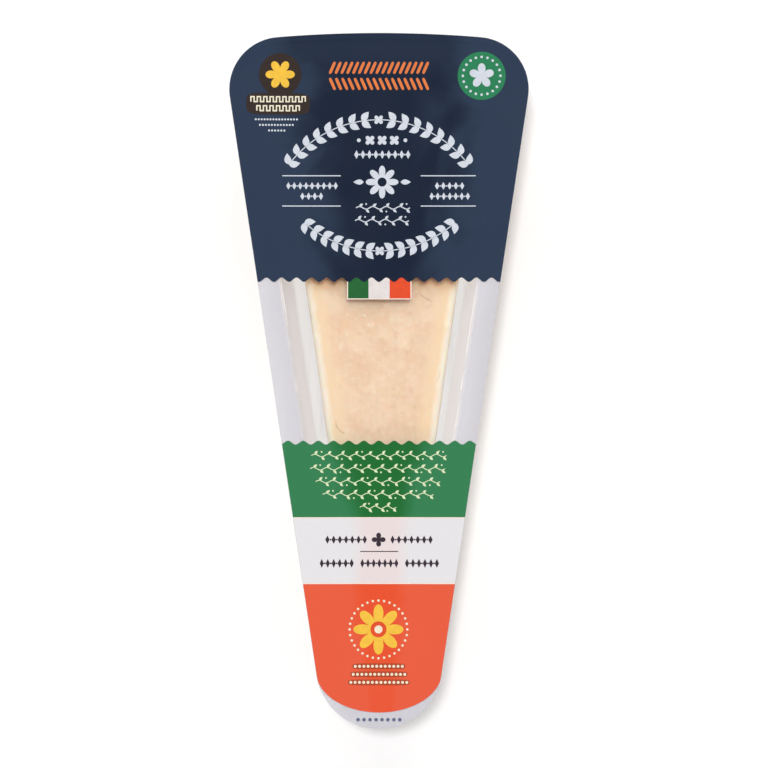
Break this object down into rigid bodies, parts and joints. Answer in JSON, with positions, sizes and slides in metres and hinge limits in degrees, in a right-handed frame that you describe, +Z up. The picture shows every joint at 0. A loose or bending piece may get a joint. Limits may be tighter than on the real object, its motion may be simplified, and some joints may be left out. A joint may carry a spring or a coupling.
{
  "type": "packed wedge of hard cheese",
  "caption": "Chunk of hard matured cheese with its rind, sealed in a clear wedge-shaped tray under a printed film with a clear window.",
  "frame": {"origin": "middle of the pack's bounding box at the tray's flat base", "axes": "+Z up out of the printed film, +Y along the pack towards its wide end, +X to the right seen from above"},
  "size_m": [0.086, 0.2, 0.0334],
  "materials": {
    "clear_tray": "clear thin plastic, glossy",
    "cheese": "pale straw cut face, grainy and slightly waxy",
    "rind": "amber brown rind, dry and waxy",
    "clear_film": "clear film, glossy",
    "navy_print": "dark navy ink under satin film",
    "green_print": "mid green ink under satin film",
    "white_print": "white ink under satin film",
    "orange_print": "orange red ink under satin film",
    "gold_print": "golden yellow ink under satin film",
    "brown_print": "dark brown ink under satin film",
    "dark_print": "charcoal and slate ornament ink under satin film",
    "pale_print": "pale ornament ink under satin film"
  },
  "bodies": {
    "root": {"tray": "clear_tray", "cheese_chunk": "cheese", "lid_film": "navy_print"}
  },
  "joints": []
}
